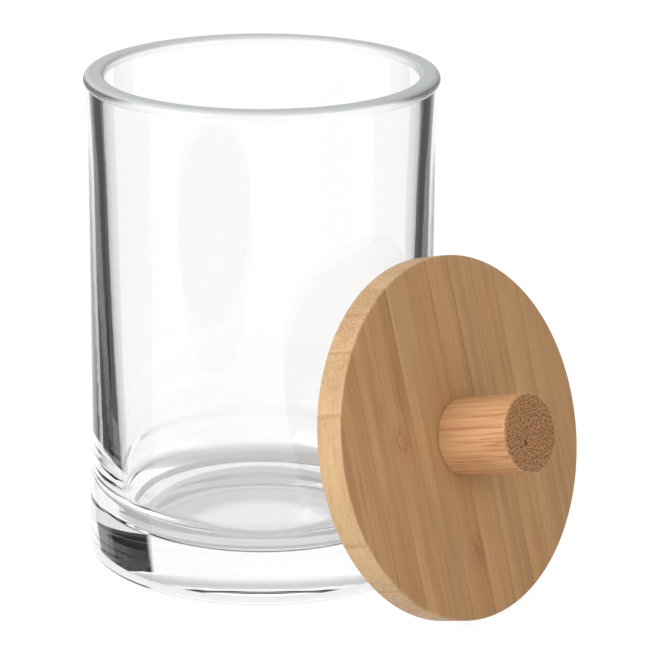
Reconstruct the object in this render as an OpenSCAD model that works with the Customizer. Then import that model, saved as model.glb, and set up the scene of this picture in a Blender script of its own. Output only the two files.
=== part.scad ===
// Cotton ball holder: a straight glass jar with a thick floor, and a bamboo lid with a round knob.
// The lid stands beside the jar on its edge and leans its plug on the wall.
// The jar stands on Z = 0 with its axis on Z. The lid's own frame has its axis on Z and its knob upwards.

/* [Jar] */
// Outer diameter of the straight wall
wall_d = 75; // [65:0.5:100]
// Height from the foot to the top of the rim
jar_h = 109; // [95:0.5:150]
// Thickness of the wall just above the rounded inner corner, to which it grows from the rim down
wall_low_t = 5.8; // [4.4:0.1:7]
// Thickness of the solid glass under the inside
floor_t = 9.5; // [7:0.25:14]
// Radius of the rounded corner between the inner wall and the floor
bowl_r = 9; // [5:0.25:12]

/* [Jar foot] */
// Height of the thicker band round the foot
heel_h = 16.5; // [10:0.25:22]
// How far the band stands out past the wall
heel_proud = 0.7; // [0.3:0.05:1.4]
// Height of the soft shoulder above the band
shoulder_h = 4; // [1.5:0.1:6]
// Radius of the rounded bottom edge
heel_edge = 2.3; // [1:0.1:4]
// Width of the flat ring that the jar stands on
foot_w = 9; // [5:0.25:12]
// Height of the shallow hollow under the jar
hollow_h = 0.4; // [0.2:0.1:1.2]

/* [Jar rim] */
// How far the rim stands out past the wall
rim_proud = 0.85; // [0.6:0.05:1.4]
// Thickness of the glass across the rim
rim_w = 4.35; // [3.8:0.05:5.2]
// Radius of the rim's outer edge
rim_out_r = 1.4; // [1.1:0.05:1.8]
// Radius of the rim's inner edge
rim_in_r = 1; // [0.6:0.05:1.5]
// Height over which the wall opens out towards the rim
flare_h = 20; // [10:0.5:30]
// How far the wall has opened out where it meets the rim
flare_proud = 0.45; // [0.2:0.05:0.5]

/* [Lid] */
// How far the plate stands out past the rim of the jar
lid_overhang = 0.15; // [0:0.05:1.5]
// Thickness of the plate that covers the rim
plate_t = 6.6; // [4:0.1:10]
// Height of the plug under the plate
plug_t = 3.8; // [2.5:0.1:8]
// Clearance between the plug and the mouth of the jar, all round
plug_gap = 0.6; // [0.3:0.05:1.5]
// Radius of the plate's eased edges
plate_edge = 0.4; // [0.2:0.05:1]
// Radius of the plug's eased edge
plug_edge = 0.8; // [0.4:0.05:1.5]

/* [Knob] */
// Diameter of the knob
knob_d = 16.7; // [12:0.1:24]
// Length of the knob
knob_l = 18; // [14:0.25:28]
// Radius of the eased edge at the knob's tip
knob_edge = 0.6; // [0.3:0.05:1.5]
// Radius of the eased edge where the knob stands on the plate
knob_foot_edge = 0.25; // [0.1:0.05:0.5]

/* [Knob screw] */
// Diameter of the screw
screw_d = 3.8; // [3:0.1:5]
// How far the screw reaches into the knob
screw_grip = 11; // [7:0.25:12]
// Length of the screw's tapered point
screw_tip_l = 3; // [2:0.25:5]
// Diameter of the countersunk head
head_d = 7.6; // [6.5:0.1:9.5]
// How deep the head lies below the plug's face
head_sink = 0.2; // [0:0.05:0.6]
// Span of the cross recess in the head
cross_span = 4.2; // [3:0.1:5]
// Width of each slot of the cross recess
cross_w = 1.1; // [0.7:0.05:1.5]
// Depth of the cross recess
cross_depth = 1.4; // [0.8:0.05:1.8]
// Clearance between the screw and the wood
screw_gap = 0.1; // [0.05:0.05:0.3]

/* [Lid beside the jar] */
// How far the standing lid leans back from upright, in degrees
lid_lean = 15.7; // [10:0.1:25]
// Direction of the lid from the jar's axis, in degrees from +X
lid_turn = -41.3; // [-180:0.1:180]
// Clearance between the lid's plug and the wall it leans on
lean_gap = 0.1; // [0.05:0.05:0.5]

/* [Hidden] */

$fn = 120;
ARC_STEPS = 8;
CURVE_STEPS = 6;
INSIDE_STEPS = 10;
CUT = 1; // how far a cutter runs past the face that it opens
TIP_ROOM = 0.5; // depth of the knob's blind hole past the tip of the screw

// Jar: radii of the wall, the band and the rim
wall_r = wall_d / 2;
heel_r = wall_r + heel_proud;
rim_r = wall_r + rim_proud;
rim_in = rim_r - rim_w;
wall_low_in = wall_r - wall_low_t;
foot_out = heel_r - heel_edge;
foot_in = foot_out - foot_w;

// The rim is a bead that grows out of the flared wall at the angle where the two meet
bead_r = rim_r - rim_out_r;
bead_z = jar_h - rim_out_r;
neck_r = wall_r + flare_proud;
neck_angle = -acos((neck_r - bead_r) / rim_out_r);
neck_z = bead_z + rim_out_r * sin(neck_angle);

// The inside narrows from the rounded lip down to the bowl, which carries on at the same slope
mouth_top = jar_h - rim_in_r;
bowl_top = floor_t + bowl_r;
bowl_slope = atan(2 * (rim_in - wall_low_in) / (mouth_top - bowl_top));

// Lid: the plate covers the rim and the plug fits the mouth
lid_r = rim_r + lid_overhang;
plug_r = rim_in - plug_gap;
knob_r = knob_d / 2;

// Screw: the head's cone has an angle of 90 degrees, so it is as high as it is wide to one side
screw_r = screw_d / 2;
head_r = head_d / 2;
head_h = head_r - screw_r;
head_z = head_sink - plug_t;
tip_r = screw_r / 4;
screw_top = plate_t + screw_grip;

// Place of the leaning lid: its plate's back edge stands on Z = 0 and its plug meets the wall
lean_out = wall_r + lean_gap + plug_t * cos(lid_lean) + plug_r * sin(lid_lean)
         - plug_edge * (sin(lid_lean) + cos(lid_lean) - 1);
lean_up = (lid_r - plate_edge) * cos(lid_lean) + plate_edge * (1 - sin(lid_lean));

// Points of an arc about c, from angle a to angle b
function arc(c, r, a, b, steps = ARC_STEPS) =
    [for (i = [0:steps]) let (t = a + (b - a) * i / steps) [c[0] + r * cos(t), c[1] + r * sin(t)]];

// Points of a soft step from p to q that leaves and arrives upright
function soft_step(p, q, steps = CURVE_STEPS) =
    [for (i = [0:steps]) let (t = i / steps, s = (1 - cos(180 * t)) / 2)
        [p[0] + (q[0] - p[0]) * s, p[1] + (q[1] - p[1]) * t]];

// The underside's shallow hollow, from the axis out to the flat ring
function hollow_points() =
    [for (i = [0:CURVE_STEPS]) let (t = i / CURVE_STEPS) [foot_in * t, hollow_h * (1 - t * t)]];

// The wall opens out slowly below the rim
function flare_points() =
    [for (i = [0:CURVE_STEPS]) let (t = i / CURVE_STEPS)
        [wall_r + flare_proud * t * t, jar_h - flare_h + (neck_z - jar_h + flare_h) * t]];

// The inner wall thickens downwards, ever faster
function inside_points() =
    [for (i = [0:INSIDE_STEPS]) let (t = i / INSIDE_STEPS)
        [rim_in + (wall_low_in - rim_in) * t * t, mouth_top + (bowl_top - mouth_top) * t]];

function outer_points() = concat(
    hollow_points(),
    arc([foot_out, heel_edge], heel_edge, -90, 0),
    soft_step([heel_r, heel_h], [wall_r, heel_h + shoulder_h]),
    flare_points(),
    arc([bead_r, bead_z], rim_out_r, neck_angle, 90)
);

function inner_points() = concat(
    arc([rim_in + rim_in_r, mouth_top], rim_in_r, 90, 180),
    inside_points(),
    arc([wall_low_in - bowl_r, bowl_top], bowl_r, -bowl_slope, -90),
    [[0, floor_t]]
);

// The jar is one piece of pressed glass, turned about its axis
module glass_jar() {
    color([0.86, 0.91, 0.92, 0.45])
        rotate_extrude()
            polygon(concat(outer_points(), inner_points()));
}

// Stands a piece from the lid's own frame on its edge beside the jar
module beside_jar() {
    rotate([0, 0, lid_turn])
        translate([lean_out, 0, lean_up])
            rotate([0, 90 - lid_lean, 0])
                children();
}

// Eased lower and upper corners of a turned disc's half section
function low_corner(r, z, edge) = arc([r - edge, z + edge], edge, -90, 0);
function top_corner(r, z, edge) = arc([r - edge, z - edge], edge, 0, 90);

// Room for the screw: a clear hole and a countersink for the head
module screw_room() {
    translate([0, 0, -plug_t - CUT])
        cylinder(r = screw_r + screw_gap, h = plug_t + plate_t + 2 * CUT);
    translate([0, 0, -plug_t - CUT])
        cylinder(r = head_r + screw_gap, h = CUT + head_sink);
    translate([0, 0, head_z])
        cylinder(r1 = head_r + screw_gap, r2 = screw_r + screw_gap, h = head_h);
}

// The lid is one piece of laminated bamboo: a plate over the rim and a plug in the mouth
module bamboo_lid() {
    color([0.72, 0.55, 0.38])
        beside_jar()
            difference() {
                rotate_extrude()
                    polygon(concat(
                        [[0, -plug_t]],
                        low_corner(plug_r, -plug_t, plug_edge),
                        [[plug_r, 0]],
                        low_corner(lid_r, 0, plate_edge),
                        top_corner(lid_r, plate_t, plate_edge),
                        [[0, plate_t]]
                    ));
                screw_room();
            }
}

// The knob stands on the plate and has a blind hole for the screw
module bamboo_knob() {
    color([0.84, 0.65, 0.44])
        beside_jar()
            difference() {
                rotate_extrude()
                    polygon(concat(
                        [[0, plate_t]],
                        low_corner(knob_r, plate_t, knob_foot_edge),
                        top_corner(knob_r, plate_t + knob_l, knob_edge),
                        [[0, plate_t + knob_l]]
                    ));
                translate([0, 0, plate_t - CUT])
                    cylinder(r = screw_r + screw_gap, h = CUT + screw_grip + TIP_ROOM);
            }
}

// Countersunk wood screw with a cross recess, up through the lid into the knob
module knob_screw() {
    color([0.72, 0.72, 0.70])
        beside_jar()
            difference() {
                union() {
                    translate([0, 0, head_z])
                        cylinder(r1 = head_r, r2 = screw_r, h = head_h);
                    translate([0, 0, head_z])
                        cylinder(r = screw_r, h = screw_top - screw_tip_l - head_z);
                    translate([0, 0, screw_top - screw_tip_l])
                        cylinder(r1 = screw_r, r2 = tip_r, h = screw_tip_l);
                }
                for (turn = [0, 90])
                    rotate([0, 0, turn])
                        translate([-cross_span / 2, -cross_w / 2, head_z - CUT])
                            cube([cross_span, cross_w, CUT + cross_depth]);
            }
}

glass_jar();
bamboo_lid();
bamboo_knob();
knob_screw();
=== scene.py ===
"""Cotton ball holder: a thick glass jar, and its bamboo lid standing on edge against it."""
import math

import bmesh
import bpy
from bpy.props import FloatProperty, FloatVectorProperty, IntProperty, PointerProperty
from mathutils import Euler, Matrix, Vector


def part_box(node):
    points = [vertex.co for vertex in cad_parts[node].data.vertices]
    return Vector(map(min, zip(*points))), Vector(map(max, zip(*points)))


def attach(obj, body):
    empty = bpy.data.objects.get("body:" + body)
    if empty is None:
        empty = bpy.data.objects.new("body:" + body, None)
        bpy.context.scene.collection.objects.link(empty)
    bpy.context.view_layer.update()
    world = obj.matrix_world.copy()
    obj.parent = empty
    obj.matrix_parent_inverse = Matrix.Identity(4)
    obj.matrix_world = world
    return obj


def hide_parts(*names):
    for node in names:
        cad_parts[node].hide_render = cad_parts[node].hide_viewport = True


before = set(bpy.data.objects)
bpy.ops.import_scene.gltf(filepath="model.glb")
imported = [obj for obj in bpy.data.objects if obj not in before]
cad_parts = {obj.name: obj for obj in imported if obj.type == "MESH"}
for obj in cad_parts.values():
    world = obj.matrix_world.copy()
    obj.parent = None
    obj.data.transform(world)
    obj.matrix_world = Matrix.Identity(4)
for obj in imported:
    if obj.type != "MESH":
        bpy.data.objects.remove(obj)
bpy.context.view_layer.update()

bl_info = {
    "name": "Cotton ball holder",
    "version": (1, 0, 0),
    "blender": (4, 5, 0),
    "location": "3D View > Sidebar > Holder",
    "description": "Makes a glass jar with a bamboo lid leaning on it, and the studio round them",
    "category": "Add Mesh",
}

MM = 0.001
BODY = "root"
JAR_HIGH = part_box("glass_jar")[1]
ARC_STEPS = 14
CURVE_STEPS = 12
THREAD_STEPS = 14
POINT_STEPS = 24
SHARP_ANGLE = math.radians(32)
MERGE_DISTANCE = 1e-6
TIP_ROOM = 0.5 * MM
THREAD_START = 4.0 * MM
WHITE = (1.0, 1.0, 1.0, 1.0)

GLASS_IOR = 1.5

# Depths under the rim between which the bead turns soft, and its top turns ground
RIM_SOFT = (2.2 * MM, 1.3 * MM)
RIM_GROUND = (0.9 * MM, 0.3 * MM)

# Two knuckles on the lid's face: their place up and across it, and their size, in millimetres
KNUCKLES = (((4.0, -19.5), (5.5, 3.4)), ((-24.0, -2.5), (5.0, 3.0)))

# How much narrower the cross recess is at its bottom, along and across each slot
CROSS_TAPER = (0.55, 0.8)

# Where the far flags change, as directions from the jar's wall in degrees away from straight back
FLAG_MARKS = {"inner": 19.0, "outer": 42.0, "end": 62.0, "gloss_start": 32.0, "gloss_far": 55.0}

# Heights in the surround, from 0 at its foot to 1 at its top, between which it turns grey
DOME_RISE = (0.42, 0.77)

# The stage, in metres
FLOOR_REACH = 6.0
LAMP_SIZE = 0.9
LAMP_TARGET = (0.02, -0.02, 0.05)
KEY_PLACE = (-0.95, -0.75, 0.75)
FILL_PLACE = (0.9, -1.0, 0.6)
CAMERA_PLACE = (0.0, -0.69361, 0.26912)
CAMERA_SHIFT = 0.10326


# Properties that a user would change


def length(name, description, mm):
    """A length in metres whose default is given in millimetres."""
    return FloatProperty(name=name, description=description, default=mm * MM, min=0.0,
                         precision=5, subtype="DISTANCE", unit="LENGTH")


def colour(name, description, rgb):
    """A linear colour."""
    return FloatVectorProperty(name=name, description=description, default=rgb, size=3,
                               min=0.0, max=1.0, subtype="COLOR")


def share(name, description, default, high=1.0):
    """A plain number from zero up."""
    return FloatProperty(name=name, description=description, default=default, min=0.0, max=high)


def angle(name, description, degrees):
    """An angle whose default is given in degrees."""
    return FloatProperty(name=name, description=description, default=math.radians(degrees),
                         subtype="ANGLE", unit="ROTATION")


class JarSettings(bpy.types.PropertyGroup):
    """Sizes and finish of the jar. Its height and rim come from the frame."""

    height: length("Height", "From the foot to the top of the rim", JAR_HIGH.z / MM)
    rim_r: length("Rim radius", "Outer radius of the rim", JAR_HIGH.x / MM)
    rim_proud: length("Rim proud", "How far the rim stands out past the wall", 0.85)
    rim_w: length("Rim width", "Thickness of the glass across the rim", 4.35)
    rim_out_r: length("Rim outer edge", "Radius of the rim's outer edge", 1.4)
    rim_in_r: length("Rim inner edge", "Radius of the rim's inner edge", 1.0)
    wall_low_t: length("Wall at the floor", "Thickness of the wall above the rounded corner", 5.8)
    floor_t: length("Floor", "Thickness of the solid glass under the inside", 9.5)
    bowl_r: length("Inner corner", "Radius between the inner wall and the floor", 9.0)
    heel_h: length("Band height", "Height of the thicker band round the foot", 16.5)
    heel_proud: length("Band proud", "How far the band stands out past the wall", 0.7)
    shoulder_h: length("Shoulder", "Height of the soft shoulder above the band", 4.0)
    heel_edge: length("Bottom edge", "Radius of the rounded bottom edge", 2.3)
    foot_w: length("Foot ring", "Width of the flat ring that the jar stands on", 9.0)
    hollow_h: length("Hollow", "Height of the shallow hollow under the jar", 0.4)
    flare_h: length("Flare height", "Height over which the wall opens out to the rim", 20.0)
    flare_proud: length("Flare", "How far the wall has opened out at the rim", 0.45)
    segments: IntProperty(name="Segments", description="Facets round the jar", default=256, min=32)
    tint: colour("Tint", "Colour of light that crosses the glass", (0.997, 1.0, 1.0))
    rim_rough: share("Rim roughness", "How rough the ground rim is", 0.4)
    rim_frost: share("Rim frost", "How much of the light the ground rim scatters", 0.9)
    frost: colour("Frost", "Colour of the light that the ground rim scatters", (0.56, 0.58, 0.59))


class LidSettings(bpy.types.PropertyGroup):
    """Sizes, place and colours of the lid."""

    overhang: length("Overhang", "How far the plate stands out past the rim", 0.15)
    plate_t: length("Plate", "Thickness of the plate", 6.6)
    plug_t: length("Plug", "Height of the plug under the plate", 3.8)
    plug_gap: length("Plug gap", "Clearance between the plug and the mouth", 0.6)
    plate_edge: length("Plate edge", "Radius of the plate's eased edges", 0.4)
    plug_edge: length("Plug edge", "Radius of the plug's eased edge", 0.8)
    lean: angle("Lean", "How far the lid leans back from upright", 15.7)
    turn: angle("Direction", "Direction of the lid from the jar's axis", -41.3)
    lean_gap: length("Lean gap", "Clearance between the plug and the wall", 0.1)
    strip_w: length("Strip", "Width of the bamboo strips that are glued side by side", 7.0)
    segments: IntProperty(name="Segments", description="Facets round the lid", default=256, min=32)
    light_tone: colour("Light tone", "The ground between the fibres", (0.590, 0.348, 0.160))
    dark_tone: colour("Dark tone", "The fibres and the darker streaks", (0.350, 0.170, 0.068))
    warm_tone: colour("Warm tone", "The strips that are more orange", (0.612, 0.342, 0.150))
    # The edge tone is partly the turned edge's own paler grain, partly painted light and sheen where the
    # key lamp falls on the edge
    edge_tone_and_painted_light: colour("Edge tone", "The ground on the plate's turned edge", (0.640, 0.430, 0.225))


class KnobSettings(bpy.types.PropertyGroup):
    """Sizes and colours of the knob."""

    diameter: length("Diameter", "Diameter of the knob", 16.7)
    length: length("Length", "Length of the knob", 18.0)
    edge: length("Tip edge", "Radius of the eased edge at the tip", 0.6)
    foot_edge: length("Foot edge", "Radius of the eased edge on the plate", 0.25)
    segments: IntProperty(name="Segments", description="Facets round the knob", default=144, min=32)
    light_tone: colour("Light tone", "The ground between the fibres", (0.68, 0.40, 0.195))
    dark_tone: colour("Dark tone", "The fibres and the darker streaks", (0.40, 0.16, 0.065))
    line_tone: colour("Line tone", "The thin reddish lines along the side", (0.36, 0.10, 0.04))
    end_tone: colour("End grain", "The ground between the cut ends of the fibres", (0.47, 0.235, 0.100))
    dot_tone: colour("End dots", "The cut ends of the fibres", (0.14, 0.055, 0.024))


class ScrewSettings(bpy.types.PropertyGroup):
    """Sizes and colour of the screw that holds the knob."""

    diameter: length("Diameter", "Diameter over the thread", 3.8)
    grip: length("Grip", "How far the screw reaches into the knob", 11.0)
    tip_l: length("Point", "Length of the tapered point", 3.0)
    head_d: length("Head", "Diameter of the countersunk head", 7.6)
    head_sink: length("Head depth", "How deep the head lies below the plug's face", 0.2)
    cross_span: length("Cross span", "Span of the cross recess", 4.2)
    cross_w: length("Cross width", "Width of each slot of the cross recess", 1.1)
    cross_depth: length("Cross depth", "Depth of the cross recess", 1.4)
    gap: length("Gap", "Clearance between the screw and the wood", 0.1)
    pitch: length("Pitch", "Distance between two turns of the thread", 1.6)
    thread_depth: length("Thread depth", "How deep the thread is cut", 0.55)
    segments: IntProperty(name="Segments", description="Facets round the screw", default=64, min=24)
    metal: colour("Metal", "Colour of the plated steel", (0.72, 0.71, 0.68))


class StudioSettings(bpy.types.PropertyGroup):
    """Light, ground and camera."""

    key_power: share("Key", "Power of the large soft lamp at the left, in watts", 15.5, 1000.0)
    fill_power: share("Fill", "Power of the soft lamp at the right, in watts", 4.0, 1000.0)
    ambient: share("Ambient", "Even light from all round", 0.48, 10.0)
    dome_top: share("Dome top", "What the glass sees overhead", 0.56)
    flag_level: share("Flags", "How bright the dark flags look in the glass", 0.03)
    flag_side_level: share("Flag sides", "How bright the flags' outer parts look in the glass", 0.13)
    flag_gloss_level: share("Flags in gloss", "How bright the flags look on the surface of the glass", 0.4)
    floor_glow: share("Floor glow", "How bright the open ground looks", 1.09, 2.0)
    gloss_near: length("Gloss near", "Distance from the axis up to which gloss shows the ground", 44.0)
    floor_shade: share("Floor shade", "How much of the floor's look is real shade", 0.13)
    # Painted shade and a painted pool of light on the ground under the jar, seen only through the glass
    painted_shade_under_foot: share("Under the jar", "How bright the glass sees the ground under the jar's foot", 0.5)
    painted_light_under_hollow: share("Under the hollow", "How bright the glass sees the ground under the hollow", 0.78)
    painted_light_r: length("Bright radius", "Radius of the brighter ground under the hollow", 16.0)
    painted_light_shift: length("Bright shift", "How far the brighter ground lies to the front", 6.0)
    floor_near: length("Near floor", "How far from the jar's axis the glass still sees the floor", 70.0)
    lens: FloatProperty(name="Lens", description="Focal length in millimetres", default=180.39, min=1.0)
    pitch: angle("Camera pitch", "How far the camera looks down", 17.485)


# Nodes written as Python expressions


class Wire:
    """A node's output socket that can be used in expressions on values."""

    def __init__(self, net, socket):
        self.net = net
        self.socket = socket

    def __add__(self, other):
        return self.net.maths("ADD", self, other)

    def __sub__(self, other):
        return self.net.maths("SUBTRACT", self, other)

    def __rsub__(self, other):
        return self.net.maths("SUBTRACT", other, self)

    def __mul__(self, other):
        return self.net.maths("MULTIPLY", self, other)

    def __truediv__(self, other):
        return self.net.maths("DIVIDE", self, other)

    def __mod__(self, other):
        return self.net.maths("FLOORED_MODULO", self, other)

    def __abs__(self):
        return self.net.maths("ABSOLUTE", self)

    __radd__ = __add__
    __rmul__ = __mul__


class Net:
    """A node tree under construction."""

    def __init__(self, tree):
        self.tree = tree

    def add(self, kind, settings=None, values=None, out=0):
        """Adds a node, sets it up, fills its sockets with values or links, and returns one output."""
        node = self.tree.nodes.new(kind)
        for name, value in (settings or {}).items():
            setattr(node, name, value)
        for name, value in (values or {}).items():
            if isinstance(value, Wire):
                self.tree.links.new(value.socket, node.inputs[name])
            else:
                node.inputs[name].default_value = value
        return Wire(self, node.outputs[out])

    def maths(self, operation, *terms):
        """A Math node on one to three terms."""
        return self.add("ShaderNodeMath", {"operation": operation}, dict(enumerate(terms)))

    def step(self, value, low, high, low_to=0.0, high_to=1.0):
        """A soft step that turns low into low_to and high into high_to."""
        return self.add("ShaderNodeMapRange", {"interpolation_type": "SMOOTHSTEP"}, {
            "Value": value, "From Min": low, "From Max": high, "To Min": low_to, "To Max": high_to})

    def point(self, x, y, z):
        """Joins three numbers into a place."""
        return self.add("ShaderNodeCombineXYZ", None, {0: x, 1: y, 2: z})

    def parts(self, vector):
        """The three numbers of a place."""
        first = self.add("ShaderNodeSeparateXYZ", None, {0: vector})
        return [Wire(self, socket) for socket in first.socket.node.outputs]

    def noise(self, spot, scale, detail=2.0, roughness=0.5, out=0):
        """Cloudy noise, from 0 to 1."""
        return self.add("ShaderNodeTexNoise", None,
                        {"Vector": spot, "Scale": scale, "Detail": detail, "Roughness": roughness}, out)

    def mix(self, factor, first, second):
        """Mixes two colours."""
        return self.add("ShaderNodeMix", {"data_type": "RGBA", "clamp_result": False},
                        {0: factor, 6: opaque(first), 7: opaque(second)}, 2)

    def clamped(self, value):
        """The value, held between 0 and 1."""
        return self.maths("MINIMUM", self.maths("MAXIMUM", value, 0.0), 1.0)

    def either(self, factor, first, second):
        """The first shader where the factor is 0, and the second where it is 1."""
        return self.add("ShaderNodeMixShader", None, {0: factor, 1: first, 2: second})

    def ray(self, *names):
        """The outputs of one Light Path node, by name."""
        outputs = self.add("ShaderNodeLightPath").socket.node.outputs
        return [Wire(self, outputs[name]) for name in names]


def opaque(value):
    """A colour with its alpha, or a link as it is."""
    if isinstance(value, Wire):
        return value
    return (*value, 1.0)


def new_material(name):
    """An empty material and its net. The caller links the surface."""
    material = bpy.data.materials.new(name)
    material.use_nodes = True
    material.node_tree.nodes.clear()
    return material, Net(material.node_tree)


def finish_material(net, surface):
    """Links a shader to the material's output."""
    net.add("ShaderNodeOutputMaterial", None, {"Surface": surface}, slice(0, 0))


# Sections, turned shapes and pieces


def arc(centre, radius, start, end, steps=ARC_STEPS):
    """Points of an arc about centre, from one angle to another in degrees."""
    turns = [math.radians(start + (end - start) * i / steps) for i in range(steps + 1)]
    return [(centre[0] + radius * math.cos(t), centre[1] + radius * math.sin(t)) for t in turns]


def soft_step(p, q, steps=CURVE_STEPS):
    """Points of a soft step from p to q that leaves and arrives upright."""
    points = []
    for i in range(steps + 1):
        t = i / steps
        ease = (1 - math.cos(math.pi * t)) / 2
        points.append((p[0] + (q[0] - p[0]) * ease, p[1] + (q[1] - p[1]) * t))
    return points


def hold_edges(points, near=0.25 * MM):
    """Adds a point close to each end of every long straight stretch, so that it shades flat."""
    held = [points[0]]
    for start, end in zip(points, points[1:]):
        run = math.dist(start, end)
        if run > 4 * near:
            for t in (near / run, 1 - near / run):
                held.append((start[0] + (end[0] - start[0]) * t, start[1] + (end[1] - start[1]) * t))
        held.append(end)
    return held


def new_tree(name, geometry, inputs):
    """A geometry tree that takes and gives geometry and has further named inputs, and its net."""
    tree = bpy.data.node_groups.new(name, "GeometryNodeTree")
    sockets = [("INPUT", geometry, "Geometry"), *(("INPUT", *item) for item in inputs),
               ("OUTPUT", "Piece", "Geometry")]
    for side, label, kind in sockets:
        tree.interface.new_socket(name=label, in_out=side, socket_type="NodeSocket" + kind)
    return tree, Net(tree)


def turned_tree():
    """A lathe: turns the section that comes in about Z."""
    tree, net = new_tree("Turned piece", "Section", [("Segments", "Int"), ("Material", "Material")])
    section = net.add("NodeGroupInput", out="Section")
    given = section.socket.node.outputs
    segments = Wire(net, given["Segments"])
    material = Wire(net, given["Material"])
    count = net.add("GeometryNodeAttributeDomainSize", {"component": "MESH"},
                    {"Geometry": section}, "Point Count")
    grid = net.add("GeometryNodeMeshGrid", None, {"Vertices X": segments + 1, "Vertices Y": count}, "Mesh")
    index = net.add("GeometryNodeInputIndex")
    place = net.add("GeometryNodeSampleIndex", {"data_type": "FLOAT_VECTOR", "domain": "POINT"}, {
        "Geometry": section, "Value": net.add("GeometryNodeInputPosition"), "Index": index % count})
    turn = net.maths("FLOOR", (index + 0.5) / count) * (2 * math.pi) / segments
    spun = net.add("ShaderNodeVectorRotate", {"rotation_type": "Z_AXIS"}, {"Vector": place, "Angle": turn})
    shell = net.add("GeometryNodeSetPosition", None, {"Geometry": grid, "Position": spun})
    shell = net.add("GeometryNodeMergeByDistance", None, {"Geometry": shell, "Distance": MERGE_DISTANCE})
    shell = net.add("GeometryNodeRealizeInstances", None, {"Geometry": shell})
    shell = net.add("GeometryNodeSetMaterial", None, {"Geometry": shell, "Material": material})
    net.add("NodeGroupOutput", None, {0: shell}, slice(0, 0))
    return tree


def thread_tree():
    """Cuts a wood screw's thread into a turned shank, within its outer diameter."""
    sizes = ("Pitch", "Depth", "Low", "High", "Run-out")
    tree, net = new_tree("Screw thread", "Shank", [*((name, "Float") for name in sizes),
                                                   ("Material", "Material")])
    shank = net.add("NodeGroupInput", out="Shank")
    given = shank.socket.node.outputs
    pitch, depth, low, high, run_out = (Wire(net, given[name]) for name in sizes)
    x, y, z = net.parts(net.add("GeometryNodeInputPosition"))
    phase = (z / pitch - net.maths("ARCTAN2", y, x) / (2 * math.pi)) % 1.0
    root = net.step(abs(phase - 0.5), 0.08, 0.3)
    ends = net.step(z, low, low + run_out) * net.step(z, high, high + run_out, 1.0, 0.0)
    radius = net.maths("SQRT", x * x + y * y)
    in_share = depth * root * ends / net.maths("MAXIMUM", radius, MERGE_DISTANCE)
    kept = 1 - net.maths("MINIMUM", in_share, 0.9)
    cut = net.add("GeometryNodeSetPosition", None, {
        "Geometry": shank, "Position": net.point(x * kept, y * kept, z)})
    cut = net.add("GeometryNodeRealizeInstances", None, {"Geometry": cut})
    cut = net.add("GeometryNodeSetMaterial", None, {
        "Geometry": cut, "Material": Wire(net, given["Material"])})
    net.add("NodeGroupOutput", None, {0: cut}, slice(0, 0))
    return tree


def tree_called(name, make):
    """A node tree that is made once."""
    return bpy.data.node_groups.get(name) or make()


def use_tree(piece, tree, values):
    """Puts a geometry tree on a piece and sets its named inputs."""
    modifier = piece.modifiers.new(tree.name, "NODES")
    modifier.node_group = tree
    for item in tree.interface.items_tree:
        if item.in_out == "INPUT" and item.name in values:
            modifier[item.identifier] = values[item.name]


def section_object(name, section):
    """A line of points in the XZ plane, ready to be turned."""
    mesh = bpy.data.meshes.new(name)
    mesh.from_pydata([(r, 0.0, z) for r, z in section], [(i, i + 1) for i in range(len(section) - 1)], [])
    piece = bpy.data.objects.new(name, mesh)
    bpy.context.scene.collection.objects.link(piece)
    return piece


def turned_piece(name, section, segments, material):
    """A section that is set up to be turned about Z."""
    piece = section_object(name, section)
    use_tree(piece, tree_called("Turned piece", turned_tree), {"Segments": segments, "Material": material})
    return piece


def settle(piece, material, place=None):
    """Makes a piece's modifiers into a plain mesh in its place, closed and facing outwards."""
    depsgraph = bpy.context.evaluated_depsgraph_get()
    mesh = bpy.data.meshes.new_from_object(piece.evaluated_get(depsgraph), depsgraph=depsgraph)
    piece.modifiers.clear()
    piece.data = mesh
    shell = bmesh.new()
    shell.from_mesh(mesh)
    bmesh.ops.remove_doubles(shell, verts=shell.verts, dist=MERGE_DISTANCE)
    bmesh.ops.dissolve_degenerate(shell, edges=shell.edges, dist=MERGE_DISTANCE / 10)
    bmesh.ops.recalc_face_normals(shell, faces=shell.faces)
    shell.to_mesh(mesh)
    shell.free()
    if place is not None:
        mesh.transform(place)
    mesh.shade_smooth()
    mesh.set_sharp_from_angle(angle=SHARP_ANGLE)
    mesh.materials.clear()
    mesh.materials.append(material)


def stand_for(piece, node):
    """The piece takes a node's place on the one body."""
    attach(piece, BODY)
    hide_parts(node)


# The jar


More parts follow.
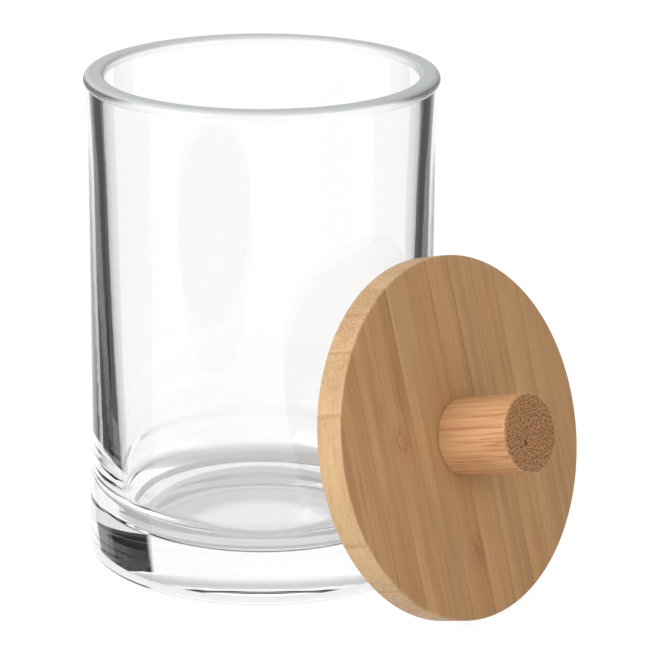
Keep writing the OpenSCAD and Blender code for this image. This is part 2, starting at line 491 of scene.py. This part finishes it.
def jar_section(jar):
    """The jar's half section, from the axis under the foot round to the axis on the inner floor."""
    wall_r = jar.rim_r - jar.rim_proud
    heel_r = wall_r + jar.heel_proud
    rim_in = jar.rim_r - jar.rim_w
    wall_low_in = wall_r - jar.wall_low_t
    foot_out = heel_r - jar.heel_edge
    foot_in = foot_out - jar.foot_w
    bead_r = jar.rim_r - jar.rim_out_r
    bead_z = jar.height - jar.rim_out_r
    neck_r = wall_r + jar.flare_proud
    neck_angle = -math.degrees(math.acos((neck_r - bead_r) / jar.rim_out_r))
    neck_z = bead_z + jar.rim_out_r * math.sin(math.radians(neck_angle))
    flare_low = jar.height - jar.flare_h
    mouth_top = jar.height - jar.rim_in_r
    steps = [i / CURVE_STEPS for i in range(CURVE_STEPS + 1)]
    hollow = [(foot_in * t, jar.hollow_h * (1 - t * t)) for t in steps]
    heel = arc((foot_out, jar.heel_edge), jar.heel_edge, -90, 0)
    shoulder = soft_step((heel_r, jar.heel_h), (wall_r, jar.heel_h + jar.shoulder_h))
    flare = [(wall_r + jar.flare_proud * t * t, flare_low + (neck_z - flare_low) * t) for t in steps]
    bead = arc((bead_r, bead_z), jar.rim_out_r, neck_angle, 90)
    lip = arc((rim_in + jar.rim_in_r, mouth_top), jar.rim_in_r, 90, 180)
    bowl_top = jar.floor_t + jar.bowl_r
    inside = [(rim_in + (wall_low_in - rim_in) * t * t, mouth_top + (bowl_top - mouth_top) * t)
              for t in steps]
    slope = math.degrees(math.atan2(2 * (rim_in - wall_low_in), mouth_top - bowl_top))
    bowl = arc((wall_low_in - jar.bowl_r, bowl_top), jar.bowl_r, -slope, -90, 2 * ARC_STEPS)
    return hold_edges([*hollow, *heel, *shoulder, *flare, *bead, *lip, *inside, *bowl, (0.0, jar.floor_t)])


def glass_material(jar):
    """Clear pressed glass, faintly wavy, soft at the bead and ground on top. Lamps shine through it."""
    material, net = new_material("Clear glass")
    spot = net.add("ShaderNodeTexCoord", out="Object")
    waves = net.noise(spot, 45.0, 1.0)
    normal = net.add("ShaderNodeBump", None, {"Strength": 1.0, "Distance": 0.004 * MM, "Height": waves})
    height = net.parts(spot)[2]
    soft, ground = (net.step(height, jar.height - low, jar.height - high)
                    for low, high in (RIM_SOFT, RIM_GROUND))
    glass = net.add("ShaderNodeBsdfPrincipled", None, {
        "Base Color": opaque(jar.tint), "Roughness": soft * jar.rim_rough, "IOR": GLASS_IOR,
        "Transmission Weight": 1.0, "Normal": normal})
    frost = net.add("ShaderNodeBsdfPrincipled", None, {
        "Base Color": opaque(jar.frost), "Roughness": 0.6, "IOR": GLASS_IOR})
    body = net.either(ground * jar.rim_frost, glass, frost)
    clear = net.add("ShaderNodeBsdfTransparent", None, {"Color": (0.93, 0.94, 0.94, 1.0)})
    shadow = net.add("ShaderNodeLightPath", out="Is Shadow Ray")
    finish_material(net, net.either(shadow, body, clear))
    return material


# The bamboo


def lid_radius(scene):
    """Radius of the lid's plate, which covers the rim."""
    return scene.holder_jar.rim_r + scene.holder_lid.overhang


def plug_radius(scene):
    """Radius of the plug, which fits the mouth."""
    return scene.holder_jar.rim_r - scene.holder_jar.rim_w - scene.holder_lid.plug_gap


def lid_place(scene):
    """Stands the lid's own frame on edge beside the jar: Z is its axis, and X points down its face."""
    jar, lid = scene.holder_jar, scene.holder_lid
    lean_sin, lean_cos = math.sin(lid.lean), math.cos(lid.lean)
    out = (jar.rim_r - jar.rim_proud + lid.lean_gap + lid.plug_t * lean_cos + plug_radius(scene) * lean_sin
           - lid.plug_edge * (lean_sin + lean_cos - 1))
    up = (lid_radius(scene) - lid.plate_edge) * lean_cos + lid.plate_edge * (1 - lean_sin)
    beside = Matrix.Rotation(lid.turn, 4, "Z") @ Matrix.Translation((out, 0.0, up))
    return beside @ Matrix.Rotation(math.pi / 2 - lid.lean, 4, "Y")


def local_mm(net, place):
    """Coordinates in the lid's own frame, in millimetres."""
    where, turn, _ = place.decompose()
    spot = net.add("ShaderNodeTexCoord", out="Object")
    return net.parts(net.add("ShaderNodeMapping", {"vector_type": "TEXTURE"}, {
        "Vector": spot, "Location": where, "Rotation": turn.to_euler(), "Scale": (MM, MM, MM)}))


def fibre_bundles(net, along, across, through, pitch, stretch):
    """A mask of dark bundles of fibres: dots where they are cut across, dashes and streaks along them."""
    spot = net.point(along / stretch, across, through)
    bent = net.add("ShaderNodeVectorMath", {"operation": "MULTIPLY_ADD"},
                   {0: net.noise(spot, 0.35, 1.0, out="Color"), 1: (0.0, 1.1, 1.1), 2: spot})
    cells = net.add("ShaderNodeTexVoronoi", {"voronoi_dimensions": "3D"},
                    {"Vector": bent, "Scale": 1 / pitch, "Randomness": 0.9}, "Distance")
    return net.step(cells, 0.18, 0.46, 1.0, 0.0)


def cut_fibres(net, across, through, pitch):
    """The ends of the fibre bundles where the cane is cut across: close dots. Returns a mask."""
    bent = net.noise(net.point(across, through, 0.0), 0.5, 1.0) - 0.5
    cells = net.add("ShaderNodeTexVoronoi", {"voronoi_dimensions": "2D"}, {
        "Vector": net.point(across + bent, through - bent, 0.0), "Scale": 1 / pitch,
        "Randomness": 0.75}, "Distance")
    return net.step(cells, 0.2, 0.45, 1.0, 0.0)


def bamboo_shader(net, tone, mask, rough_low, height):
    """Sanded bamboo under a matt oil, a little rougher on the fibres."""
    normal = net.add("ShaderNodeBump", None, {"Strength": 0.35, "Distance": 0.06 * MM, "Height": height})
    return net.add("ShaderNodeBsdfPrincipled", None, {
        "Base Color": tone, "Roughness": rough_low + 0.14 * mask, "IOR": 1.45, "Normal": normal})


def thin_lines(net, spot, scale, width):
    """Thin long lines where a stretched noise crosses its middle. Returns a mask."""
    return net.step(abs(net.noise(spot, scale, 2.0) - 0.5), 0.0, width, 1.0, 0.0)


def knuckle(net, along, across, place, size):
    """A node of the cane: a soft patch, 1 at its middle and 0 outside."""
    away_along = (along - place[0]) / size[0]
    away_across = (across - place[1]) / size[1]
    away = net.maths("SQRT", away_along * away_along + away_across * away_across)
    return net.step(away, 0.15, 1.0, 1.0, 0.0)


def lid_material(scene):
    """Bamboo strips glued side by side. The grain runs up the face, along the lid's own X."""
    lid = scene.holder_lid
    material, net = new_material("Laminated bamboo")
    down, across, through = local_mm(net, lid_place(scene))
    along = down * -1.0
    strip = (across + 1.0) / (lid.strip_w / MM)
    number = net.maths("FLOOR", strip)
    in_strip = strip - number
    chance = net.add("ShaderNodeTexWhiteNoise", {"noise_dimensions": "1D"}, {"W": number + 7.3}, "Value")
    shifted = along + number * 61.0
    streaks = net.noise(net.point(shifted * 0.035, across, through), 1.3, 4.0, 0.58)
    bands = net.noise(net.point(shifted * 0.03, across, through), 0.26, 2.0, 0.5)
    lines = thin_lines(net, net.point(shifted * 0.02, across, through), 0.62, 0.028)
    clouds = net.noise(net.point(shifted * 0.25, across, through), 0.11, 2.0)
    bundles = fibre_bundles(net, shifted, across, through, 0.55, 16.0)
    dense = net.step(net.noise(net.point(shifted * 0.05, across, through), 0.5, 1.0), 0.35, 0.7)
    cut_end = net.step(abs(down) / (lid_radius(scene) / MM), 0.35, 0.95)
    radius = net.maths("SQRT", down * down + across * across)
    rim = net.step(radius, lid_radius(scene) / MM - 0.5, lid_radius(scene) / MM - 0.1)
    fibres = bundles * (0.3 + 0.5 * dense)
    joint = net.step(abs(in_strip - 0.5), 0.462, 0.49)
    first, second = (knuckle(net, along, across, *one) for one in KNUCKLES)
    knots = first + second
    torn = thin_lines(net, net.point(along * 0.3, across, through), 1.1, 0.06)
    ends = cut_fibres(net, across, through, 0.62) * cut_end * rim
    dark = (0.04 + 0.22 * net.step(streaks, 0.3, 0.75) + (0.34 - 0.22 * rim) * net.step(bands, 0.3, 0.72)
            + 0.1 * fibres + 0.3 * lines * dense + 0.5 * (clouds - 0.5) + 0.12 * (chance - 0.5)
            + joint * (0.04 + 0.28 * chance) + 0.1 * (in_strip - 0.5)
            + knots * (0.1 + 0.8 * torn) + 0.42 * ends)
    # The turned edge takes a paler tone: partly its own grain, partly painted light and sheen
    light = net.mix(rim, net.mix(net.step(chance, 0.4, 0.8), lid.light_tone, lid.warm_tone), lid.edge_tone_and_painted_light)
    tone = net.mix(net.clamped(dark), light, lid.dark_tone)
    height = 0.5 * streaks - 0.5 * fibres - joint
    finish_material(net, bamboo_shader(net, tone, fibres, 0.48, height))
    return material


def knob_material(scene):
    """A bamboo dowel: streaks along its side, and dense dark dots on its cut tip."""
    lid, knob = scene.holder_lid, scene.holder_knob
    material, net = new_material("Bamboo dowel")
    down, across, along = local_mm(net, lid_place(scene))
    tip = (lid.plate_t + knob.length) / MM
    streaks = net.noise(net.point(along * 0.03, across, down), 1.7, 4.0, 0.62)
    clouds = net.noise(net.point(along * 0.15, across, down), 0.16, 2.0)
    bundles = fibre_bundles(net, along, across, down, 0.62, 22.0)
    end = net.step(along, tip - 0.42, tip - 0.1)
    side_dark = 0.16 + 0.46 * net.step(streaks, 0.32, 0.78) + 0.18 * bundles + 0.22 * (clouds - 0.5)
    side = net.mix(net.clamped(side_dark), knob.light_tone, knob.dark_tone)
    lines = thin_lines(net, net.point(along * 0.02, across, down), 0.8, 0.035)
    side = net.mix(lines * 0.55, side, knob.line_tone)
    pit = knuckle(net, down * -1.0, across, (-1.5, -2.1), (0.8, 0.7))
    dots = cut_fibres(net, across, down, 0.66)
    dotted = net.maths("MINIMUM", dots * (0.5 + 0.5 * clouds) + pit, 1.0)
    tone = net.mix(end, side, net.mix(dotted, knob.end_tone, knob.dot_tone))
    height = 0.5 * streaks - 0.6 * bundles
    finish_material(net, bamboo_shader(net, tone, bundles, 0.45, height))
    return material


def lid_section(scene):
    """The lid's half section: a plate with a plug under it and a countersunk hole, closed on itself."""
    lid, screw = scene.holder_lid, scene.holder_screw
    lid_r, plug_r = lid_radius(scene), plug_radius(scene)
    edge, low_edge = lid.plate_edge, lid.plug_edge
    hole_r = screw.diameter / 2 + screw.gap
    sink_r = screw.head_d / 2 + screw.gap
    sink_z = screw.head_sink - lid.plug_t
    return hold_edges([
        (hole_r, lid.plate_t),
        *arc((lid_r - edge, lid.plate_t - edge), edge, 90, 0),
        *arc((lid_r - edge, edge), edge, 0, -90),
        (plug_r, 0.0),
        *arc((plug_r - low_edge, low_edge - lid.plug_t), low_edge, 0, -90),
        (sink_r, -lid.plug_t),
        (sink_r, sink_z),
        (hole_r, sink_z + sink_r - hole_r),
        (hole_r, lid.plate_t),
    ])


def knob_section(scene):
    """The knob's half section, with its blind hole for the screw."""
    lid, knob, screw = scene.holder_lid, scene.holder_knob, scene.holder_screw
    radius, foot = knob.diameter / 2, lid.plate_t
    hole_r = screw.diameter / 2 + screw.gap
    hole_top = foot + screw.grip + TIP_ROOM
    return hold_edges([
        (0.0, hole_top),
        (hole_r, hole_top),
        (hole_r, foot),
        *arc((radius - knob.foot_edge, foot + knob.foot_edge), knob.foot_edge, -90, 0),
        *arc((radius - knob.edge, foot + knob.length - knob.edge), knob.edge, 0, 90),
        (0.0, foot + knob.length),
    ])


# The screw


def screw_section(scene):
    """The screw's half section, with close points along the shank for the thread."""
    lid, screw = scene.holder_lid, scene.holder_screw
    radius, head_r = screw.diameter / 2, screw.head_d / 2
    head_z = screw.head_sink - lid.plug_t
    neck_z = head_z + head_r - radius
    top = lid.plate_t + screw.grip
    taper_z = top - screw.tip_l
    count = round((taper_z - neck_z) / screw.pitch * THREAD_STEPS)
    shank = [(radius, neck_z + (taper_z - neck_z) * i / count) for i in range(count + 1)]
    point_r = radius / 4
    point = [(radius + (point_r - radius) * i / POINT_STEPS, taper_z + screw.tip_l * i / POINT_STEPS)
             for i in range(1, POINT_STEPS + 1)]
    return [(0.0, head_z), (head_r * 0.72, head_z), (head_r, head_z), *shank, *point, (0.0, top)]


def cross_cutter(screw, head_z):
    """A tapered cross that is cut into the head."""
    shape = bmesh.new()
    over = 0.5 * MM
    for turn in (0.0, math.pi / 2):
        made = bmesh.ops.create_cube(shape, size=1.0)["verts"]
        for vert in made:
            deep = vert.co.z > 0
            vert.co.x *= screw.cross_span * (CROSS_TAPER[0] if deep else 1.0)
            vert.co.y *= screw.cross_w * (CROSS_TAPER[1] if deep else 1.0)
            vert.co.z = head_z + (screw.cross_depth if deep else -over)
        bmesh.ops.rotate(shape, verts=made, cent=(0, 0, 0), matrix=Matrix.Rotation(turn, 3, "Z"))
    mesh = bpy.data.meshes.new("Cross")
    shape.to_mesh(mesh)
    shape.free()
    cutter = bpy.data.objects.new("Cross", mesh)
    bpy.context.scene.collection.objects.link(cutter)
    return cutter


def screw_material(screw):
    """Bright zinc plate with fine turning marks."""
    material, net = new_material("Zinc plated steel")
    spot = net.add("ShaderNodeTexCoord", out="Object")
    marks = net.noise(spot, 2500.0, 3.0)
    clouds = net.noise(spot, 260.0, 2.0)
    tone = net.mix(clouds, screw.metal, [0.8 * c for c in screw.metal])
    normal = net.add("ShaderNodeBump", None, {"Strength": 0.2, "Distance": 0.01 * MM, "Height": marks})
    finish_material(net, net.add("ShaderNodeBsdfPrincipled", None, {
        "Base Color": tone, "Metallic": 1.0, "Roughness": 0.24 + 0.16 * clouds, "Normal": normal}))
    return material


# The studio


def panel(name, corners, material):
    """A flat four-cornered sheet that belongs to the studio."""
    mesh = bpy.data.meshes.new(name)
    mesh.from_pydata(corners, [], [(0, 1, 2, 3)])
    mesh.materials.append(material)
    sheet = bpy.data.objects.new(name, mesh)
    bpy.context.scene.collection.objects.link(sheet)
    return sheet


def seen_rays(net):
    """1 for rays from the camera, or by way of gloss or glass, and 0 for rays that carry light."""
    camera, glossy, through = net.ray("Is Camera Ray", "Is Glossy Ray", "Is Transmission Ray")
    return net.maths("MINIMUM", camera + glossy + through, 1.0)


def floor_material(studio):
    """White ground that keeps a little of the object's shade.

    Glass shows it greyer under the jar's foot, a painted shadow, round a painted pool of light under the
    hollow a little to the front. Far off, glass and gloss see the surround in its place.
    """
    material, net = new_material("White floor")
    plain = net.add("ShaderNodeBsdfDiffuse", None, {"Color": (0.82, 0.82, 0.82, 1.0)})
    glow = net.add("ShaderNodeEmission", None, {"Color": WHITE, "Strength": studio.floor_glow})
    x, y, _ = net.parts(net.add("ShaderNodeTexCoord", out="Object"))
    away = net.maths("SQRT", x * x + y * y)
    front = y + studio.painted_light_shift
    from_painted_light = net.maths("SQRT", x * x + front * front)
    # Painted shadow under the jar's foot, round a painted pool of light under the hollow; both fade out
    # between 40 and 50 mm from the axis
    level = net.step(from_painted_light, studio.painted_light_r - 3 * MM, studio.painted_light_r + 3 * MM,
                     studio.painted_light_under_hollow, studio.painted_shade_under_foot)
    level = level + net.step(away, 40 * MM, 50 * MM) * (1.0 - level)
    # The painted shade and light as a glow, which only rays through the glass see
    under = net.add("ShaderNodeEmission", None, {"Color": WHITE, "Strength": level})
    camera, by_glass = net.ray("Is Camera Ray", "Is Transmission Ray")
    look = seen_rays(net)
    open_seen = net.either(studio.floor_shade, glow, plain)
    ground = net.either(look, plain, net.either(by_glass, open_seen, under))
    far = net.maths("GREATER_THAN", away, studio.floor_near)
    far_for_gloss = net.maths("GREATER_THAN", away, studio.gloss_near) * (1.0 - by_glass)
    past = net.maths("MAXIMUM", far, far_for_gloss) * (look - camera)
    finish_material(net, net.either(past, ground, net.add("ShaderNodeBsdfTransparent")))
    material.cycles.emission_sampling = "NONE"
    return material


def flag_material(studio, name, marks):
    """A flag whose brightness changes at marks along X, in one way through glass and in another for gloss.

    Through glass it shows only to rays that were turned back inside one wall. Others see it white.
    """
    material, net = new_material(name)
    x = abs(net.parts(net.add("ShaderNodeTexCoord", out="Object"))[0])
    soft = 8 * MM
    inner, outer, end = marks["inner"], marks["outer"], marks["end"]
    level = net.step(x, inner - soft, inner + soft, 1.0, studio.flag_level)
    level = level + net.step(x, outer - soft, outer + soft, 0.0, studio.flag_side_level - studio.flag_level)
    level = level + net.step(x, end - 3 * soft, end, 0.0, 1.0 - studio.flag_side_level)
    start, far = marks["gloss_start"], marks["gloss_far"]
    gloss = net.step(x, start - 4 * soft, start + 4 * soft, 1.0, studio.flag_gloss_level)
    gloss = gloss + net.step(x, far - 4 * soft, far + 4 * soft, 0.0,
                             studio.flag_level - studio.flag_gloss_level)
    through, passes, turns = net.ray("Is Transmission Ray", "Transmission Depth", "Glossy Depth")
    crossed = net.maths("GREATER_THAN", passes, 3.5)
    turned = net.maths("GREATER_THAN", turns, 0.5)
    level = 1.0 - turned * (1.0 - crossed) * (1.0 - level)
    level = gloss + through * (level - gloss)
    finish_material(net, net.add("ShaderNodeEmission", None, {"Strength": level}))
    material.cycles.emission_sampling = "NONE"
    return material


def side_flag_material(studio):
    """A dark flag for gloss alone: rays by way of glass pass through it."""
    material, net = new_material("Side flag")
    dark = net.add("ShaderNodeEmission", None, {"Strength": studio.flag_level})
    through = net.add("ShaderNodeLightPath", out="Is Transmission Ray")
    finish_material(net, net.either(through, dark, net.add("ShaderNodeBsdfTransparent")))
    material.cycles.emission_sampling = "NONE"
    return material


def add_flags(studio, side, wall_r):
    """Dark flags far from the jar, one behind it and one beside it, seen only by gloss and glass."""
    back, front, low, high = 300 * MM, -150 * MM, -500 * MM, 600 * MM
    marks = {name: wall_r + back * math.tan(math.radians(away)) for name, away in FLAG_MARKS.items()}
    start, end = marks["inner"] - 20 * MM, marks["end"]
    word = "left" if side < 0 else "right"
    far_corners = [(side * x, back, z) for x, z in ((start, low), (end, low), (end, high), (start, high))]
    near_corners = [(side * end, y, z) for y, z in ((back, low), (front, low), (front, high), (back, high))]
    far = panel(f"Flag {word}", far_corners, flag_material(studio, f"Flag {word}", marks))
    near = panel(f"Side flag {word}", near_corners, side_flag_material(studio))
    for flag in (far, near):
        flag.visible_camera = False
        flag.visible_diffuse = False
        flag.visible_shadow = False
        flag.visible_volume_scatter = False


def add_lamp(name, place, power):
    """A large soft area lamp that points at the holder."""
    data = bpy.data.lights.new(name, "AREA")
    data.shape = "RECTANGLE"
    data.size, data.size_y = LAMP_SIZE, LAMP_SIZE
    data.energy = power
    lamp = bpy.data.objects.new(name, data)
    lamp.location = place
    lamp.rotation_euler = (Vector(LAMP_TARGET) - Vector(place)).to_track_quat("-Z", "Y").to_euler()
    bpy.context.scene.collection.objects.link(lamp)


def set_world(studio):
    """Even light, and for gloss and glass a white surround that is greyer overhead."""
    world = bpy.data.worlds.new("Studio")
    world.use_nodes = True
    world.node_tree.nodes.clear()
    bpy.context.scene.world = world
    net = Net(world.node_tree)
    camera = net.add("ShaderNodeLightPath", out="Is Camera Ray")
    rise = net.parts(net.add("ShaderNodeTexCoord", out="Generated"))[2]
    dome = net.step(rise, *DOME_RISE, 1.0, studio.dome_top)
    dome = dome + camera * (1 - dome)
    strength = studio.ambient + seen_rays(net) * (dome - studio.ambient)
    back = net.add("ShaderNodeBackground", None, {"Color": WHITE, "Strength": strength})
    net.add("ShaderNodeOutputWorld", None, {"Surface": back}, slice(0, 0))


def add_camera(studio):
    """The photograph's view of the jar."""
    data = bpy.data.cameras.new("Camera")
    data.sensor_width = 36.0
    data.lens = studio.lens
    data.shift_x = CAMERA_SHIFT
    data.clip_start, data.clip_end = 0.05, 20.0
    camera = bpy.data.objects.new("Camera", data)
    camera.location = CAMERA_PLACE
    camera.rotation_euler = Euler((math.pi / 2 - studio.pitch, 0.0, 0.0))
    bpy.context.scene.collection.objects.link(camera)
    bpy.context.scene.camera = camera


# Operators


class HOLDER_OT_studio(bpy.types.Operator):
    """Sets the white floor, the soft lamps, the flags and the camera"""

    bl_idname = "holder.studio"
    bl_label = "Studio"

    def execute(self, context):
        studio = context.scene.holder_studio
        context.scene.view_settings.view_transform = "Standard"
        corners = [(FLOOR_REACH * x, FLOOR_REACH * y, 0.0) for x, y in ((-1, -1), (1, -1), (1, 1), (-1, 1))]
        panel("Floor", corners, floor_material(studio))
        set_world(studio)
        add_flags(studio, -1, JAR_HIGH.x)
        add_flags(studio, 1, JAR_HIGH.x)
        add_lamp("Key", KEY_PLACE, studio.key_power)
        add_lamp("Fill", FILL_PLACE, studio.fill_power)
        add_camera(studio)
        return {"FINISHED"}


class HOLDER_OT_glass_jar(bpy.types.Operator):
    """Turns the thick glass jar from its section"""

    bl_idname = "holder.glass_jar"
    bl_label = "Glass jar"

    def execute(self, context):
        jar = context.scene.holder_jar
        material = glass_material(jar)
        piece = turned_piece("clear_glass_jar", jar_section(jar), jar.segments, material)
        settle(piece, material)
        stand_for(piece, "glass_jar")
        return {"FINISHED"}


class HOLDER_OT_bamboo_lid(bpy.types.Operator):
    """Turns the bamboo lid and stands it on edge against the jar"""

    bl_idname = "holder.bamboo_lid"
    bl_label = "Bamboo lid"

    def execute(self, context):
        scene = context.scene
        material = lid_material(scene)
        piece = turned_piece("laminated_lid", lid_section(scene), scene.holder_lid.segments, material)
        settle(piece, material, lid_place(scene))
        stand_for(piece, "bamboo_lid")
        return {"FINISHED"}


class HOLDER_OT_bamboo_knob(bpy.types.Operator):
    """Turns the bamboo knob on the lid's plate"""

    bl_idname = "holder.bamboo_knob"
    bl_label = "Bamboo knob"

    def execute(self, context):
        scene = context.scene
        material = knob_material(scene)
        piece = turned_piece("dowel_knob", knob_section(scene), scene.holder_knob.segments, material)
        settle(piece, material, lid_place(scene))
        stand_for(piece, "bamboo_knob")
        return {"FINISHED"}


class HOLDER_OT_knob_screw(bpy.types.Operator):
    """Makes the wood screw that holds the knob from under the lid"""

    bl_idname = "holder.knob_screw"
    bl_label = "Knob screw"

    def execute(self, context):
        scene = context.scene
        lid, screw = scene.holder_lid, scene.holder_screw
        material = screw_material(screw)
        piece = turned_piece("countersunk_screw", screw_section(scene), screw.segments, material)
        head_z = screw.head_sink - lid.plug_t
        top = lid.plate_t + screw.grip
        use_tree(piece, tree_called("Screw thread", thread_tree), {
            "Pitch": screw.pitch, "Depth": screw.thread_depth, "Low": head_z + THREAD_START,
            "High": top - screw.pitch, "Run-out": screw.pitch, "Material": material})
        settle(piece, material)
        cutter = cross_cutter(screw, head_z)
        recess = piece.modifiers.new("Cross recess", "BOOLEAN")
        recess.operation = "DIFFERENCE"
        recess.solver = "EXACT"
        recess.use_self = True
        recess.object = cutter
        settle(piece, material, lid_place(scene))
        bpy.data.objects.remove(cutter)
        stand_for(piece, "knob_screw")
        return {"FINISHED"}


class HOLDER_PT_panel(bpy.types.Panel):
    """Lists the steps that make the holder"""

    bl_idname = "HOLDER_PT_panel"
    bl_label = "Cotton ball holder"
    bl_space_type = "VIEW_3D"
    bl_region_type = "UI"
    bl_category = "Holder"

    def draw(self, context):
        for operator in OPERATORS:
            self.layout.operator(operator.bl_idname)


OPERATORS = (HOLDER_OT_studio, HOLDER_OT_glass_jar, HOLDER_OT_bamboo_lid, HOLDER_OT_bamboo_knob,
             HOLDER_OT_knob_screw)
SETTINGS = {"holder_jar": JarSettings, "holder_lid": LidSettings, "holder_knob": KnobSettings,
            "holder_screw": ScrewSettings, "holder_studio": StudioSettings}


def register():
    """Makes the settings, the steps and the panel known to Blender."""
    for group in SETTINGS.values():
        bpy.utils.register_class(group)
    for name, group in SETTINGS.items():
        setattr(bpy.types.Scene, name, PointerProperty(type=group))
    for operator in OPERATORS:
        bpy.utils.register_class(operator)
    bpy.utils.register_class(HOLDER_PT_panel)


def unregister():
    """Takes the panel, the steps and the settings away again."""
    bpy.utils.unregister_class(HOLDER_PT_panel)
    for operator in reversed(OPERATORS):
        bpy.utils.unregister_class(operator)
    for name, group in SETTINGS.items():
        delattr(bpy.types.Scene, name)
        bpy.utils.unregister_class(group)


def main():
    """Makes the whole holder in its studio."""
    register()
    bpy.ops.holder.studio()
    bpy.ops.holder.glass_jar()
    bpy.ops.holder.bamboo_lid()
    bpy.ops.holder.bamboo_knob()
    bpy.ops.holder.knob_screw()


if __name__ == "__main__":
    main()
